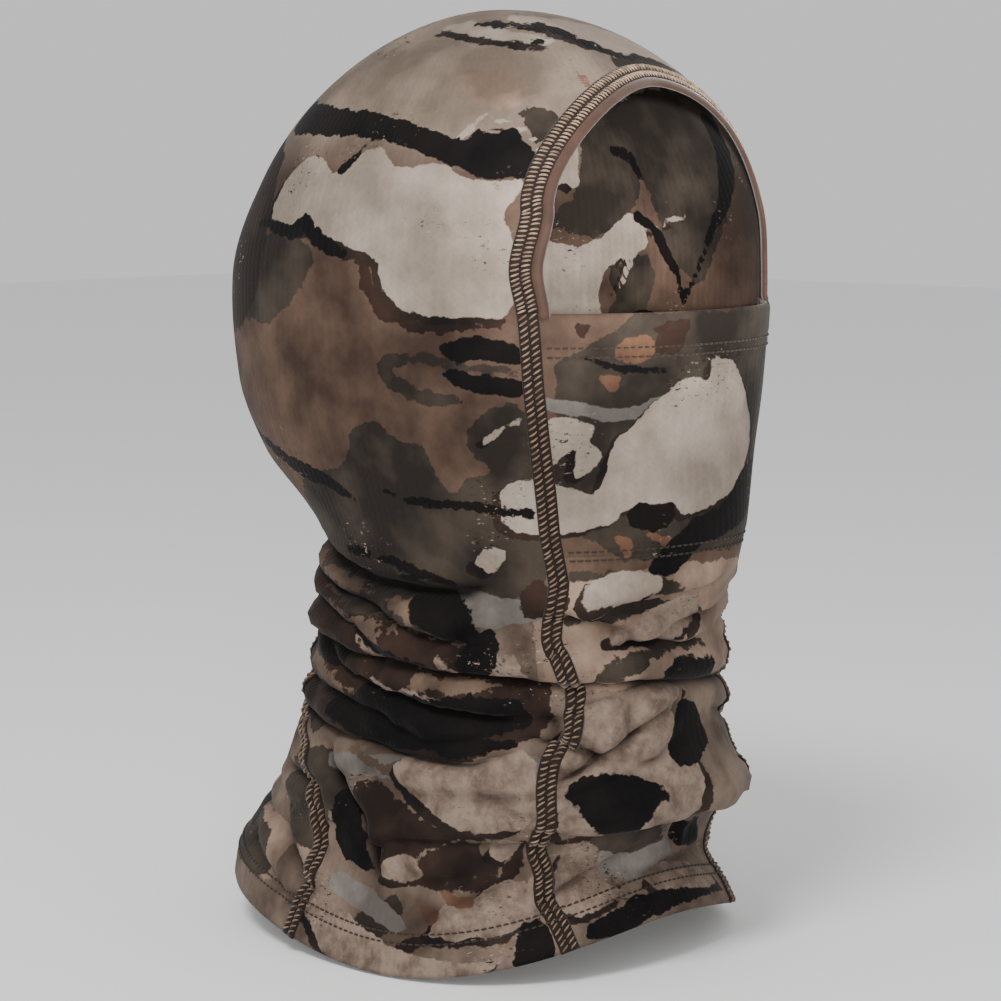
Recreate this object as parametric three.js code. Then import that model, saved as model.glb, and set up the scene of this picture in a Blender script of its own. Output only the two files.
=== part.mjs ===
// A stretch-knit face mask of the balaclava kind: hood, mouth panel, neck panels, seams and hems.
// Units are millimetres, +Z up, the face looks along -Y, and the wearer's right side is -X.
// The origin is the inside of the crown, where the top of the head seats.
//
// Every piece of cloth lies on one shape, the worn garment.  A place on it is given by
//   phi  degrees around the head, 0 at the face, positive towards the wearer's right, 180 at the back
//   u    depth below the crown, with U_HEM at the bottom edge all the way round
import * as THREE from 'three';

// ---- driving dimensions -------------------------------------------------------------------
const CLOTH = 1.3;            // thickness of the knit with its stretch taken up
const GAP = 0.4;              // air between layers that are sewn together
const PANEL_GAP = 0.5;        // air between two panels that meet under a seam
const SECTION_POWER = 2.3;    // roundness of the horizontal section, 2 is an ellipse
const DOME_DEPTH = 90;        // the crown closes over this depth
const DOME_POWER = { front: 2.05, side: 1.95, back: 1.7 };  // fullness of the crown, 2 is round
const SKEW_FROM = 150;        // below this depth the rows follow the bottom edge
const U_HEM = 314;            // the bottom edge
const HEM_FRONT = 304;        // real depth of the bottom edge at the front and back
const HEM_DIP = 15;           // how much deeper it hangs at the sides
const HEM_FORWARD_DIP = 8;    // and towards the front corners

const NOSE_EDGE = 98;         // top edge of the mouth panel
const CHIN_SEAM = 178;        // where the mouth panel meets the neck panel
const NAPE = 188;             // point of the back gusset
const ARCH_TOP = 21.7;         // seam line over the forehead
const ARCH_FOOT = 66;         // where the arch has come down to the temples
const ARCH_HALF_WIDTH = 57;

const SEAM_WIDTH = 7;         // flat four-thread seam
const SEAM_THICKNESS = 1.0;
const EDGE_INSET = 3.6;       // the hood's cut edge stands this far inside the seam line
const INSET_SHARE = 0.62;     // the cloth slopes there, so a step across it is shorter seen from the front
const BINDING_WIDTH = 2.8;
const STITCH_WIDTH = 0.9;     // one needle row of a coverstitch
const STITCH_THICKNESS = 0.6;
const HEM_DEPTH = 14;         // turned-in depth of a hem
const ROW_PITCH = 3;          // distance between the two needle rows

// Half-depth at the front, half-width and half-depth at the back, each against depth u.
const FRONT = [[60, 97], [105, 94], [150, 90.5], [172, 92], [186, 90], [200, 83], [220, 81],
  [245, 80.5], [262, 86], [280, 72], [294, 67], [306, 74.5], [325, 85]];
const SIDE = [[60, 78], [125, 77], [150, 72], [172, 63.5], [186, 59.5], [200, 61.5], [220, 61.5],
  [245, 64], [262, 67], [280, 69], [300, 75], [325, 82.5]];
const BACK = [[60, 93.5], [100, 99.5], [125, 96], [150, 83.5], [168, 63.5], [180, 53], [195, 60.5],
  [206, 57], [222, 58], [245, 66.5], [262, 73], [278, 81], [292, 92], [306, 100], [325, 100]];
// Half-width of the front seam line below the arch, and the gusset seam's angle.
const FRONT_SEAM = [
  [66, 57], [85, 61], [97, 59.5], [125, 57], [150, 52.5], [171, 48], [190, 43.5], [205, 43.5],
  [222, 37.5], [234, 38.5], [247, 44], [262, 48], [274, 47], [290, 42], [305, 42], [325, 42],
];
const GUSSET_SEAM = [
  [188, 180], [192, 172], [198, 160], [215, 145], [240, 134], [262, 115], [285, 106], [300, 107],
  [325, 110],
];

// ---- the worn shape -----------------------------------------------------------------------
// Monotone cubic through [x, y] stops, so the outline never overshoots a stop.
function smooth(stops, x) {
  const last = stops.length - 1;
  const slope = i => (stops[i + 1][1] - stops[i][1]) / (stops[i + 1][0] - stops[i][0]);
  const tangent = i => {
    if (i === 0) return slope(0);
    if (i === last) return slope(last - 1);
    const [a, b] = [slope(i - 1), slope(i)];
    return a * b <= 0 ? 0 : 2 * a * b / (a + b);
  };
  if (x <= stops[0][0]) return stops[0][1];
  if (x >= stops[last][0]) return stops[last][1];
  let i = 0;
  while (x > stops[i + 1][0]) i++;
  const h = stops[i + 1][0] - stops[i][0];
  const t = (x - stops[i][0]) / h;
  return stops[i][1] * (1 + 2 * t) * (1 - t) ** 2 + tangent(i) * h * t * (1 - t) ** 2
    + stops[i + 1][1] * t * t * (3 - 2 * t) + tangent(i + 1) * h * t * t * (t - 1);
}

const radians = degrees => degrees * Math.PI / 180;

function hemDepth(phi) {
  const s = Math.sin(radians(phi));
  return HEM_FRONT + s * s * (HEM_DIP + HEM_FORWARD_DIP * Math.cos(radians(phi)));
}

function section(u) {
  const left = Math.max(0, 1 - u / DOME_DEPTH);
  const dome = power => (1 - left ** power) ** (1 / power);
  return {
    front: smooth(FRONT, u) * dome(DOME_POWER.front),
    side: smooth(SIDE, u) * dome(DOME_POWER.side),
    back: smooth(BACK, u) * dome(DOME_POWER.back),
  };
}

function place(phi, u) {
  const { front, side, back } = section(u);
  const s = Math.sin(radians(phi));
  const c = Math.cos(radians(phi));
  const reach = c > 0 ? front : back;
  let x = 0;
  let y = 0;
  if (u > 0) {
    const inside = (Math.abs(s) / side) ** SECTION_POWER + (Math.abs(c) / reach) ** SECTION_POWER;
    const r = inside ** (-1 / SECTION_POWER);
    x = Math.abs(s) < 1e-9 ? 0 : -r * s;
    y = -r * c;
  }
  const stretch = (hemDepth(phi) - SKEW_FROM) / (U_HEM - SKEW_FROM);
  const depth = u > SKEW_FROM ? SKEW_FROM + (u - SKEW_FROM) * stretch : u;
  return new THREE.Vector3(x, y, -depth);
}

// Angle at which the front half of the section at depth u is x wide.
function angleAtWidth(x, u) {
  const { front, side } = section(u);
  const k = Math.min(x / side, 0.999);
  const y = front * (1 - k ** SECTION_POWER) ** (1 / SECTION_POWER);
  return Math.atan2(k * side, y) * 180 / Math.PI;
}

// The front seam line, moved by inset towards the face.
function frontSeamAngle(u, inset = 0) {
  const shift = inset * INSET_SHARE;
  const top = ARCH_TOP + shift;
  if (u <= top) return 0;
  let half = smooth(FRONT_SEAM, u) - shift;
  if (u < ARCH_FOOT) {
    const rise = (u - top) / (ARCH_FOOT - top);
    half = (ARCH_HALF_WIDTH - shift) * (1 - (1 - rise) ** 1.55) ** 0.56;
  }
  return angleAtWidth(half, u);
}

const gussetSeamAngle = u => (u <= NAPE ? 180 : smooth(GUSSET_SEAM, u));
const arcToDegrees = (arc, phi, u) => arc / place(phi, u).setZ(0).length() * 180 / Math.PI;

// ---- turning patches of cloth into closed solids ------------------------------------------
// A patch is rows of [phi, u].  Patches share the corners that coincide.  The cloth runs from
// height low to height high above the worn shape, and every open edge gets a wall.
function clothGeometry(patches, low, high) {
  const points = [];
  const names = new Map();
  const faces = [];
  const pointOf = ([phi, u, lift = 0]) => {
    const p = place(phi, u);
    const key = [p.x, p.y, p.z].map(n => Math.round(n * 1000)).join();
    if (!names.has(key)) {
      names.set(key, points.length);
      points.push({ p, lift });
    }
    return names.get(key);
  };
  const addFace = (a, b, c) => {
    if (a !== b && b !== c && c !== a) faces.push([a, b, c]);
  };
  for (const { rows, flip } of patches) {
    const ids = rows.map(row => row.map(pointOf));
    for (let i = 0; i + 1 < ids.length; i++) {
      for (let j = 0; j + 1 < ids[i].length; j++) {
        const [a, b, c, d] = [ids[i][j], ids[i][j + 1], ids[i + 1][j + 1], ids[i + 1][j]];
        if (flip) {
          addFace(a, d, c);
          addFace(a, c, b);
        } else {
          addFace(a, b, c);
          addFace(a, c, d);
        }
      }
    }
  }
  const normals = points.map(() => new THREE.Vector3());
  for (const [a, b, c] of faces) {
    const edge = points[b].p.clone().sub(points[a].p);
    const face = edge.cross(points[c].p.clone().sub(points[a].p));
    for (const k of [a, b, c]) normals[k].add(face);
  }
  normals.forEach(n => n.normalize());
  const out = [];
  for (const height of [high, low]) {
    points.forEach(({ p, lift }, k) => out.push(...p.clone().addScaledVector(normals[k], height + lift)));
  }
  const n = points.length;
  const index = [];
  const open = new Map();
  for (const [a, b, c] of faces) {
    index.push(a, b, c, n + c, n + b, n + a);
    for (const [s, e] of [[a, b], [b, c], [c, a]]) {
      if (open.has(`${e},${s}`)) open.delete(`${e},${s}`);
      else open.set(`${s},${e}`, [s, e]);
    }
  }
  for (const [s, e] of open.values()) index.push(e, s, n + s, e, n + s, n + e);
  const geometry = new THREE.BufferGeometry();
  geometry.setAttribute('position', new THREE.Float32BufferAttribute(out, 3));
  geometry.setIndex(index);
  return geometry;
}

const steps = (from, to, count) => Array.from({ length: count + 1 }, (_, i) => from + (to - from) * i / count);
const mirrored = rows => rows.map(row => row.map(([phi, u, lift]) => [phi === 180 ? 180 : -phi, u, lift]));
const bothSides = rows => [{ rows, flip: false }, { rows: mirrored(rows), flip: true }];

// ---- cloth panels -------------------------------------------------------------------------
const ARCH_STEPS = 8;
const TEMPLE_STEPS = 4;
const EDGE_TOP = ARCH_TOP + EDGE_INSET * INSET_SHARE;
const CROWN_ROWS = steps(0, 1, 7).map(t => EDGE_TOP * t * t);
const ARCH_ROWS = steps(0, 1, ARCH_STEPS).slice(1).map(t => EDGE_TOP + (ARCH_FOOT - EDGE_TOP) * t * t);
const TEMPLE_ROWS = steps(ARCH_FOOT, NOSE_EDGE - 1, TEMPLE_STEPS).slice(1);
const CHEEK_ROWS = steps(NOSE_EDGE, CHIN_SEAM, 8);
const NECK_ROWS = steps(CHIN_SEAM, NAPE, 2).slice(1);
const TIP_ROWS = [NAPE + 1.5, NAPE + 4];
const SKIRT_ROWS = steps(NAPE, U_HEM, 18).slice(1);
const LOWER_ROWS = [...NECK_ROWS, ...TIP_ROWS, ...SKIRT_ROWS];

function hoodShell() {
  const columns = 16;
  const all = [...CROWN_ROWS, ...ARCH_ROWS, ...TEMPLE_ROWS, ...CHEEK_ROWS, ...LOWER_ROWS];
  const rows = all.map(u => {
    const from = frontSeamAngle(u, u < NOSE_EDGE ? EDGE_INSET : 0);
    return steps(from, gussetSeamAngle(u), columns).map(phi => [phi, u]);
  });
  return clothGeometry(bothSides(rows), 0, CLOTH);
}

function panelRows(depths, columns) {
  return depths.map(u => {
    const edge = frontSeamAngle(u);
    const half = edge - arcToDegrees(PANEL_GAP, edge, u);
    return steps(-half, half, columns).map(phi => [phi, u]);
  });
}

function maskPanel() {
  const depths = [...CHEEK_ROWS.slice(0, -1), CHIN_SEAM - PANEL_GAP];
  return clothGeometry([{ rows: panelRows(depths, 14), flip: false }], 0, CLOTH);
}

function neckFrontPanel() {
  return clothGeometry([{ rows: panelRows([CHIN_SEAM, ...LOWER_ROWS], 12), flip: false }], 0, CLOTH);
}

function backGusset() {
  const rows = [...TIP_ROWS, ...SKIRT_ROWS].map(u => {
    const edge = gussetSeamAngle(u);
    const from = edge + arcToDegrees(PANEL_GAP, edge, u);
    return steps(from, 360 - from, 20).map(phi => [phi, u]);
  });
  return clothGeometry([{ rows, flip: false }], 0, CLOTH);
}

// ---- seams, bindings and stitch rows ------------------------------------------------------
const ON_CLOTH = CLOTH + GAP;

// Places along the arch and down the temples, from the forehead's centre to just above the nose edge.
function archRow(inset, drop) {
  const top = ARCH_TOP + inset * INSET_SHARE;
  const arch = steps(0, 1, ARCH_STEPS).map(t => top + (ARCH_FOOT - top) * t * t);
  const depths = [...arch, ...steps(ARCH_FOOT, NOSE_EDGE - drop, TEMPLE_STEPS).slice(1)];
  return depths.map(u => [frontSeamAngle(u, inset), u]);
}

function archBand(insets, low, high) {
  return clothGeometry(bothSides(insets.map(inset => archRow(inset, 1.5)).reverse()).map(patch => ({
    rows: patch.rows,
    flip: !patch.flip,
  })), low, high);
}

// A band of the given width along a line that runs down the garment.
function downBand(depths, angleOf, side, width, low, high) {
  const rows = depths.map(u => {
    const phi = angleOf(u);
    const half = arcToDegrees(width / 2, phi, u);
    return [phi - half, phi, phi + half].map(angle => [side * angle, u]);
  });
  return clothGeometry([{ rows, flip: side < 0 }], low, high);
}

function faceSeam(side) {
  const depths = [...CHEEK_ROWS, ...LOWER_ROWS];
  return downBand(depths, u => frontSeamAngle(u), side, SEAM_WIDTH, ON_CLOTH, ON_CLOTH + SEAM_THICKNESS);
}

function gussetSeam(side) {
  const depths = SKIRT_ROWS.slice(2);
  return downBand(depths, gussetSeamAngle, side, SEAM_WIDTH, ON_CLOTH, ON_CLOTH + SEAM_THICKNESS);
}

function centreBackSeam() {
  const depths = [...ARCH_ROWS, ...TEMPLE_ROWS, ...CHEEK_ROWS.slice(1), ...NECK_ROWS.slice(0, 1)];
  return downBand(depths, () => 180, 1, SEAM_WIDTH, ON_CLOTH, ON_CLOTH + SEAM_THICKNESS);
}

// A band across the front between the two face seams, from depth top to depth bottom.
function frontBand(top, bottom, margin, low, high) {
  const rows = [top, bottom].map(u => {
    const edge = frontSeamAngle(u);
    const half = edge - arcToDegrees(margin, edge, u);
    return steps(-half, half, 20).map(phi => [phi, u]);
  });
  return clothGeometry([{ rows, flip: false }], low, high);
}

// A band all the way round, lifted over the seams that it crosses.
function ringBand(top, bottom, low, high, lifted) {
  const seams = [frontSeamAngle(top), gussetSeamAngle(top)];
  const ramps = [-6.5, -4.8, 0, 4.8, 6.5];
  const angles = new Set(steps(0, 180, 30));
  for (const seam of seams) {
    for (const arc of ramps) angles.add(seam + arcToDegrees(arc, seam, top));
  }
  const half = [...angles].sort((a, b) => a - b);
  const liftAt = phi => {
    const near = seams.some(seam => Math.abs(phi - seam) < arcToDegrees(5, seam, top));
    return lifted && near ? SEAM_THICKNESS + GAP : 0;
  };
  const rows = [top, bottom].map(u => half.map(phi => [phi, u, liftAt(phi)]));
  return clothGeometry(bothSides(rows), low, high);
}

const FACING_LOW = -GAP - CLOTH;
const FACING_MARGIN = 9;      // the turned-in nose hem ends short of the bulky side seams
const stitchTop = ON_CLOTH + STITCH_THICKNESS;

function noseStitch(depth) {
  return frontBand(depth, depth + STITCH_WIDTH, FACING_MARGIN, ON_CLOTH, stitchTop);
}

function chinStitch(depth) {
  return frontBand(depth, depth + STITCH_WIDTH, SEAM_WIDTH / 2 + 1, ON_CLOTH, stitchTop);
}

function hemStitch(depth) {
  return ringBand(depth, depth + STITCH_WIDTH, ON_CLOTH, stitchTop, true);
}

// A small folded tape inside the back, sewn in just above the bottom hem.
function careLabel() {
  const rows = SKIRT_ROWS.slice(11, 15).map(u => steps(168, 192, 4).map(phi => [phi, u]));
  return clothGeometry([{ rows, flip: false }], -GAP - 0.9, -GAP);
}

// ---- assembly -----------------------------------------------------------------------------
const knit = { color: 0x8b7c6f, roughness: 0.85, metalness: 0 };
const knitDark = { color: 0x4a413a, roughness: 0.85, metalness: 0 };
const seamThread = { color: 0x7b6a5c, roughness: 0.7, metalness: 0 };
const needleThread = { color: 0x2a2320, roughness: 0.7, metalness: 0 };
const binding = { color: 0x4b3026, roughness: 0.6, metalness: 0 };
const labelTape = { color: 0xe6e3dc, roughness: 0.5, metalness: 0 };

const group = new THREE.Group();

function add(name, geometry, finish) {
  const mesh = new THREE.Mesh(geometry, new THREE.MeshStandardMaterial(finish));
  mesh.name = name;
  group.add(mesh);
}

add('hood_shell', hoodShell(), knit);
add('mask_panel', maskPanel(), knit);
add('neck_front_panel', neckFrontPanel(), knit);
add('back_gusset', backGusset(), knit);
add('opening_edge_seam',
  archBand([-SEAM_WIDTH / 2, 0, SEAM_WIDTH / 2], ON_CLOTH, ON_CLOTH + SEAM_THICKNESS), seamThread);
const bindingInset = EDGE_INSET + 2 * GAP;
add('opening_binding', archBand([bindingInset, bindingInset + BINDING_WIDTH], 0, CLOTH), binding);
add('face_seam_right', faceSeam(1), seamThread);
add('face_seam_left', faceSeam(-1), seamThread);
add('centre_back_seam', centreBackSeam(), seamThread);
add('gusset_seam_right', gussetSeam(1), seamThread);
add('gusset_seam_left', gussetSeam(-1), seamThread);
add('nose_hem_facing',
  frontBand(NOSE_EDGE, NOSE_EDGE + HEM_DEPTH, FACING_MARGIN, FACING_LOW, -GAP), knitDark);
add('nose_stitch_upper', noseStitch(NOSE_EDGE + HEM_DEPTH - ROW_PITCH), needleThread);
add('nose_stitch_lower', noseStitch(NOSE_EDGE + HEM_DEPTH), needleThread);
add('chin_seam_allowance',
  frontBand(CHIN_SEAM - 4, CHIN_SEAM + 4, SEAM_WIDTH / 2 + 1, FACING_LOW, -GAP), knitDark);
add('chin_stitch_upper', chinStitch(CHIN_SEAM - 2), needleThread);
add('chin_stitch_lower', chinStitch(CHIN_SEAM + 1), needleThread);
add('bottom_hem_facing', ringBand(U_HEM - HEM_DEPTH, U_HEM, FACING_LOW, -GAP, false), knitDark);
add('hem_stitch_upper', hemStitch(U_HEM - HEM_DEPTH + 1), needleThread);
add('hem_stitch_lower', hemStitch(U_HEM - HEM_DEPTH + 1 + ROW_PITCH), needleThread);
add('blank_care_label', careLabel(), labelTape);

export default group;
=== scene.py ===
"""The looks of a stretch-knit camo face mask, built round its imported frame.

Lengths are in millimetres until a mesh is made, then in metres.  A place on the worn garment is
given by phi, degrees round the head from the face towards the wearer's right, and u, the depth
below the crown, which is U_HEM all along the bottom edge.
"""
import math

import bpy
import numpy as np
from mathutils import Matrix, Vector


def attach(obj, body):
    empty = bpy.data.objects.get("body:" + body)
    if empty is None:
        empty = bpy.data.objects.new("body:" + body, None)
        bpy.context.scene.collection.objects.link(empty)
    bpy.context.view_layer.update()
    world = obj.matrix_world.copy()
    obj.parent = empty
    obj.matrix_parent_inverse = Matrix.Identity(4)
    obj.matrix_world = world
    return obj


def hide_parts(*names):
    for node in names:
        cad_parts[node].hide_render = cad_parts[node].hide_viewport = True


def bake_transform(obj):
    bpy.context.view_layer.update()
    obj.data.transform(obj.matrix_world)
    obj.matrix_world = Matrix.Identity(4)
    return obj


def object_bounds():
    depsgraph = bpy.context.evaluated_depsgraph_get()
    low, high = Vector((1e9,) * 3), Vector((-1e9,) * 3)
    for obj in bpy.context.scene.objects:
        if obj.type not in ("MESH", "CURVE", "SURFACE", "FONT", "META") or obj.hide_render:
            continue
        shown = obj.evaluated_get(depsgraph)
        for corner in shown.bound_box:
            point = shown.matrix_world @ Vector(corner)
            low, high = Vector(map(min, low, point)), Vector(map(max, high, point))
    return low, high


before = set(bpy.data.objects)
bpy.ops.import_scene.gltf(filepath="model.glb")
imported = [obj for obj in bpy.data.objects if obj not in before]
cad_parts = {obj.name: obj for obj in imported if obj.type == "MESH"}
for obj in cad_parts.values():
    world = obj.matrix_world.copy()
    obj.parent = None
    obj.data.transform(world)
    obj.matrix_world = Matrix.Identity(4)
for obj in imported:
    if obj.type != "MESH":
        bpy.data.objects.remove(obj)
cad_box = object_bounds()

MM = 0.001
HOOD, MASK = "hood", "mask_top"
RNG = np.random.default_rng(11)

# ---- the worn shape, as in the CAD ----------------------------------------------------------
SECTION_POWER = 2.3
DOME_DEPTH = 90.0
DOME_POWERS = (2.05, 1.95, 1.7)      # fullness of the crown at the front, sides and back
SKEW_FROM = 150.0
U_HEM = 314.0
HEM_FRONT, HEM_DIP, HEM_FORWARD_DIP = 304.0, 15.0, 8.0
NOSE_EDGE, CHIN_SEAM, NAPE = 98.0, 178.0, 188.0
ARCH_TOP, ARCH_FOOT, ARCH_HALF_WIDTH = 21.7, 66.0, 57.0
INSET_SHARE = 0.62
CLOTH = 1.3              # wall of the cloth in the CAD

FRONT = [(60, 97), (105, 94), (150, 90.5), (172, 92), (186, 90), (200, 83), (220, 81), (245, 80.5),
         (262, 86), (280, 72), (294, 67), (306, 74.5), (325, 85)]
SIDE = [(60, 78), (125, 77), (150, 72), (172, 63.5), (186, 59.5), (200, 61.5), (220, 61.5), (245, 64),
        (262, 67), (280, 69), (300, 75), (325, 82.5)]
BACK = [(60, 93.5), (100, 99.5), (125, 96), (150, 83.5), (168, 63.5), (180, 53), (195, 60.5), (206, 57),
        (222, 58), (245, 66.5), (262, 73), (278, 81), (292, 92), (306, 100), (325, 100)]
FRONT_SEAM = [(66, 57), (85, 61), (97, 59.5), (125, 57), (150, 52.5), (171, 48), (190, 43.5),
              (205, 43.5), (222, 37.5), (234, 38.5), (247, 44), (262, 48), (274, 47), (290, 42),
              (305, 42), (325, 42)]
GUSSET_SEAM = [(188, 180), (192, 172), (198, 160), (215, 145), (240, 134), (262, 115), (285, 106),
               (300, 107), (325, 110)]

# ---- seams, hems and stitches ---------------------------------------------------------------
SEAM_WIDTH = 7.4
SEAM_GAP = 0.35          # half the gap between two panels under a seam
RUNG_PITCH = 1.5
EDGE_INSET = 3.6
BINDING_WIDTH = 3.0
HEM_DEPTH = 14.0
ROW_PITCH = 3.0
STITCH_PITCH = 2.5
NOSE_ROWS = (NOSE_EDGE + HEM_DEPTH - ROW_PITCH, NOSE_EDGE + HEM_DEPTH)
CHIN_ROWS = (CHIN_SEAM - 1.6, CHIN_SEAM + 1.4)
HEM_ROWS = (U_HEM - HEM_DEPTH + 1, U_HEM - HEM_DEPTH + 1 + ROW_PITCH)
JERSEY = 0.9             # thickness of the knit as it is shown
EDGE_ROLL = 1.5          # how much of the folded bottom edge is rounded over
NOSE_ROLL = 1.4          # and of the mask's top edge
EDGE_TURN = 0.6          # how far both turn inwards
BAND_GAP = 3.0           # a turned-in band stops this far from the front seam
TURN_IN = 0.35           # clear space between a panel and the band behind it
THREAD_RADIUS = 0.34
LONG_SEAM = {"pitch": 2.0, "slant": 0.8, "light": 0.75}      # the duller seams down the garment


def smooth(stops, x):
    """Monotone cubic through the stops, level beyond them."""
    xs, ys = np.array(stops, float).T
    h = np.diff(xs)
    slope = np.diff(ys) / h
    both = slope[:-1] * slope[1:]
    inner = np.where(both > 0, 2 * both / np.where(both > 0, slope[:-1] + slope[1:], 1), 0)
    tangent = np.concatenate([slope[:1], inner, slope[-1:]])
    x = np.clip(np.asarray(x, float), xs[0], xs[-1])
    i = np.clip(np.searchsorted(xs, x, side="right") - 1, 0, len(h) - 1)
    t = (x - xs[i]) / h[i]
    return (ys[i] * (1 + 2 * t) * (1 - t) ** 2 + tangent[i] * h[i] * t * (1 - t) ** 2
            + ys[i + 1] * t * t * (3 - 2 * t) + tangent[i + 1] * h[i] * t * t * (t - 1))


def ease(x, low, high):
    """0 up to low, 1 from high, and a smooth climb between them."""
    t = np.clip((np.asarray(x, float) - low) / (high - low), 0, 1)
    return t * t * (3 - 2 * t)


def section(u):
    """How far the inside of the cloth stands forward, sideways and back at each depth."""
    left = np.clip(1 - u / DOME_DEPTH, 0, 1)
    domes = [np.maximum(1 - left ** power, 1e-9) ** (1 / power) for power in DOME_POWERS]
    return [smooth(outline, u) * dome for outline, dome in zip((FRONT, SIDE, BACK), domes)]


def base_place(phi, u):
    """Points of the smooth worn shape, as rows of x, y, z."""
    phi, u = np.broadcast_arrays(np.asarray(phi, float), np.asarray(u, float))
    front, side, back = section(u)
    s, c = np.sin(np.radians(phi)), np.cos(np.radians(phi))
    reach = np.where(c > 0, front, back)
    inside = (np.abs(s) / side) ** SECTION_POWER + (np.abs(c) / reach) ** SECTION_POWER
    r = inside ** (-1 / SECTION_POWER)
    hem = HEM_FRONT + s * s * (HEM_DIP + HEM_FORWARD_DIP * c)
    stretch = (hem - SKEW_FROM) / (U_HEM - SKEW_FROM)
    depth = np.where(u > SKEW_FROM, SKEW_FROM + (u - SKEW_FROM) * stretch, u)
    return np.stack([-r * s, -r * c, -depth], -1)


def normals_of(place, phi, u, step=0.6):
    """Outward unit normals of a place function."""
    u = np.maximum(u, 2 * step)
    across = place(phi + step, u) - place(phi - step, u)
    down = place(phi, u + step) - place(phi, u - step)
    n = np.cross(across, down)
    return n / np.linalg.norm(n, axis=-1, keepdims=True)


def angle_at_width(x, u):
    """The angle phi at which the front half of the section is x to the side."""
    front, side, _ = section(u)
    k = np.minimum(x / side, 0.999)
    y = front * (1 - k ** SECTION_POWER) ** (1 / SECTION_POWER)
    return np.degrees(np.arctan2(k * side, y))


def front_seam(u, inset=0.0):
    """Angle of the front seam line, moved by inset towards the face."""
    u = np.asarray(u, float)
    shift = inset * INSET_SHARE
    top = ARCH_TOP + shift
    rise = np.clip((u - top) / (ARCH_FOOT - top), 0, 1)
    arch = (ARCH_HALF_WIDTH - shift) * (1 - (1 - rise) ** 1.55) ** 0.56
    half = np.where(u < ARCH_FOOT, arch, smooth(FRONT_SEAM, u) - shift)
    return np.where(u <= top, 0.0, angle_at_width(half, np.maximum(u, top)))


def gusset_seam(u):
    """Angle of the gusset's seam, which is the centre back above the nape."""
    return np.where(np.asarray(u) <= NAPE, 180.0, smooth(GUSSET_SEAM, u))


def degrees_for(arc, phi, u):
    """Degrees round the head that a given arc length takes."""
    return np.degrees(arc / np.linalg.norm(base_place(phi, u)[..., :2], axis=-1))


# ---- folds ----------------------------------------------------------------------------------
# Each fold is the line of its crease, as (phi, u) points, with its depth, its width and the
# height of the roll of cloth that stands above it.
FOLD_SCALE = 75 * math.pi / 180      # millimetres in a degree, near enough, round the neck
FOLDS = [
    # under the nape and jaw, from the back round to the front seam
    ([(158, 173), (128, 180), (112, 185), (94, 188), (76, 189), (58, 189), (42, 187)], 9.0, 3.6, 2.2),
    ([(150, 188), (124, 192), (104, 194), (88, 196), (71, 202), (55, 206), (38, 209)], 6.5, 3.2, 3.4),
    ([(140, 196), (122, 200), (103, 203), (86, 207), (68, 210), (50, 212)], 4.6, 2.6, 2.4),
    ([(168, 206), (123, 210), (102, 212), (82, 211), (65, 213), (46, 215), (31, 219), (16, 221), (1, 224),
      (-16, 226), (-36, 228), (-58, 228)], 9.0, 3.2, 4.2),
    ([(126, 214), (108, 218), (92, 221), (70, 225), (46, 230), (31, 232)], 5.5, 2.8, 3.0),
    ([(168, 228), (134, 230), (102, 230), (88, 231), (69, 236), (52, 236)], 4.8, 2.8, 2.4),
    ([(106, 233), (86, 237), (66, 238), (44, 237)], 3.2, 2.4, 1.6),
    ([(150, 240), (114, 241), (94, 240), (72, 243), (54, 245), (38, 242)], 6.0, 3.0, 3.2),
    ([(90, 199), (74, 199), (60, 200), (42, 202)], 3.0, 2.2, 1.8),
    # round the throat
    ([(37, 194), (28, 197), (14, 207), (1, 212), (-12, 212)], 3.2, 2.6, 2.2),
    ([(36, 197), (22, 195), (6, 192), (-12, 190)], 2.6, 2.6, 2.0),
    ([(26, 214), (12, 207), (-2, 203), (-18, 201)], 2.6, 2.4, 1.8),
    ([(36, 228), (31, 239), (23, 243), (16, 238), (14, 227)], 5.5, 3.0, 3.0),
    ([(37, 256), (27, 249), (12, 239), (-2, 232)], 4.6, 3.0, 2.6),
    ([(44, 268), (32, 270), (18, 271), (2, 271), (-16, 270), (-34, 268), (-52, 262)], 6.5, 3.4, 4.6),
    ([(10, 299), (-4, 298), (-16, 295), (-34, 288)], 2.2, 3.0, 1.4),
    ([(-6, 274), (-9, 282), (-12, 292)], 2.6, 2.6, 1.2),
    # down the side and into the back corner
    ([(140, 256), (131, 264), (112, 262), (105, 270), (104, 288)], 4.4, 3.0, 2.2),
    ([(110, 244), (102, 256), (90, 266), (84, 276), (83, 290)], 6.0, 3.6, 2.6),
    ([(142, 292), (130, 297), (120, 299), (110, 305)], 2.6, 2.8, 1.8),
    ([(126, 280), (116, 288), (108, 294), (102, 298)], 3.4, 2.8, 2.0),
    ([(84, 252), (70, 256), (56, 255), (40, 256)], 1.8, 4.0, 1.4),
    ([(76, 280), (64, 284), (52, 282)], 1.6, 3.4, 1.0),
]


def far_folds():
    """The far side bunches in its own way: the near folds turned over, moved and varied."""
    out = []
    for line, depth, width, roll in FOLDS:
        lift = RNG.uniform(-7, 7)
        tilt = RNG.uniform(-0.12, 0.12)
        turned = [(-phi - 4, u + lift + tilt * (phi - 80)) for phi, u in line if phi > 24]
        if len(turned) > 2:
            out.append((turned, depth * RNG.uniform(0.7, 1.0), width, roll))
    return out


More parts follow.
